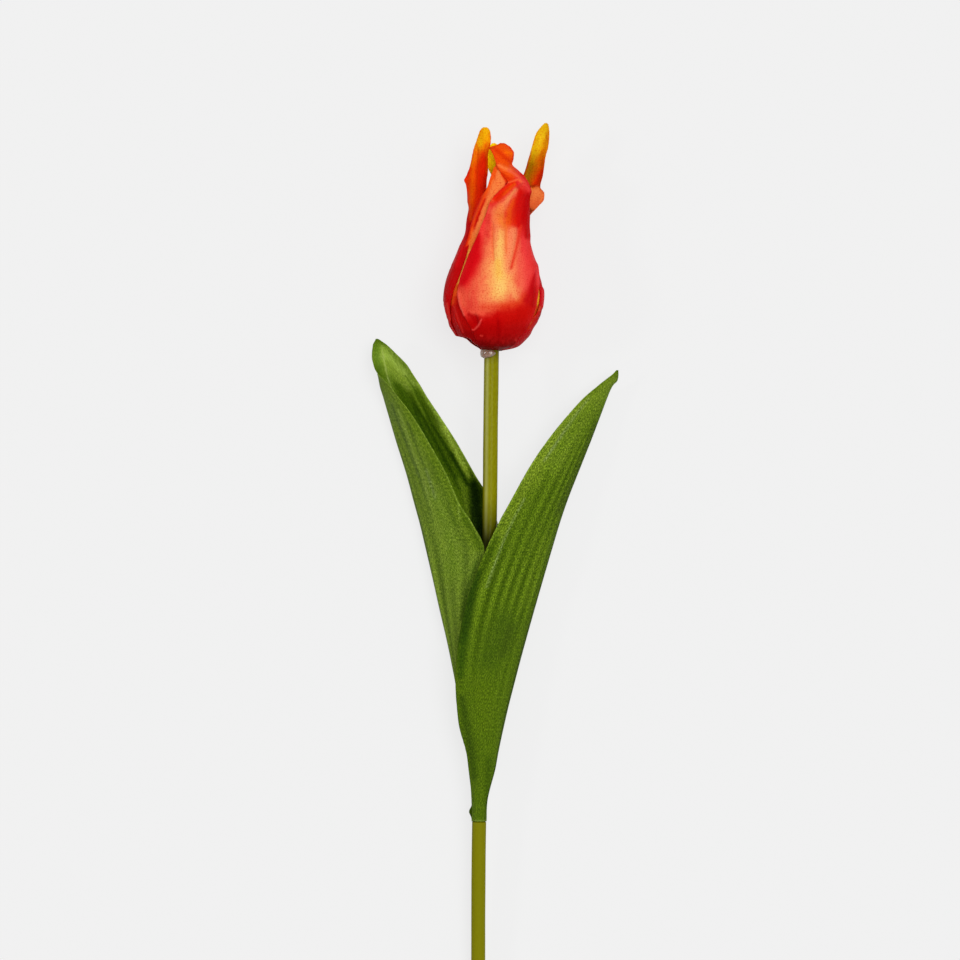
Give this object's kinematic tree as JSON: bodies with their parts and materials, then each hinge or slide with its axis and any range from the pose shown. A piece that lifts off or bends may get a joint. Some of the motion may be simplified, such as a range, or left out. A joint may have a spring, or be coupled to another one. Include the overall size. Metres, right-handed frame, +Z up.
{
  "type": "artificial parrot tulip",
  "caption": "Single artificial parrot tulip, lying down: closed ruffled bloom with twisted tips on a wired stem with folded cloth leaves.",
  "frame": {"origin": "middle of the flower's outline, on the surface that it lies on", "axes": "+Y along the flower from the cut end towards the bloom, +X to the right as seen from above, +Z up"},
  "size_m": [0.1108, 0.45, 0.0446],
  "materials": {
    "stem_plastic": "satin",
    "wire_iron": "bare iron wire",
    "plug_plastic": "satin",
    "hot_glue": "glossy, cloudy",
    "petal_cloth": "printed satin",
    "leaf_cloth": "coated woven cloth"
  },
  "bodies": {
    "root": {"stem": "stem_plastic", "stem_wire": "wire_iron", "seat_plug": "plug_plastic", "glue_blob": "hot_glue", "petal_front": "petal_cloth", "petal_left": "petal_cloth", "petal_right": "petal_cloth", "petal_inner_left": "petal_cloth", "petal_inner_right": "petal_cloth", "petal_inner_back": "petal_cloth", "leaf_left": "leaf_cloth", "leaf_right": "leaf_cloth"}
  },
  "joints": []
}
